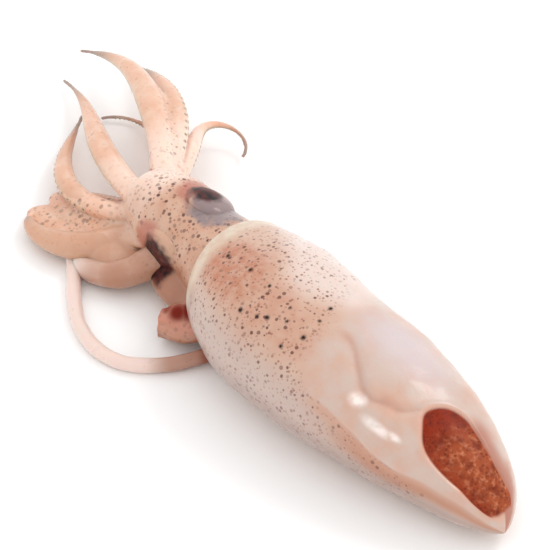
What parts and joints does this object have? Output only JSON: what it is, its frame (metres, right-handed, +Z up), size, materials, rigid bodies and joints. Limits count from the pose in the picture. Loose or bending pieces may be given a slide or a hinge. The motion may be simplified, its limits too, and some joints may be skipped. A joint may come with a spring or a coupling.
{
  "type": "whole raw squid",
  "caption": "Whole raw squid lying on its belly: plump speckled mantle, tail fins folded up over the back, head with eyes, curled arms and a looped tentacle.",
  "frame": {"origin": "middle of the small flat spot under the belly, where the squid rests on its support", "axes": "+X towards the tail, head and arms towards -X; +Z up; -Y is the animal's left side"},
  "size_m": [0.1877, 0.0721, 0.0311],
  "materials": {
    "skin": "wet speckled skin",
    "flesh": "wet smooth flesh of head, arms and tentacles",
    "eye": "wet glossy",
    "sucker": "wet pale rings"
  },
  "bodies": {
    "root": {"squid": "skin"}
  },
  "joints": []
}
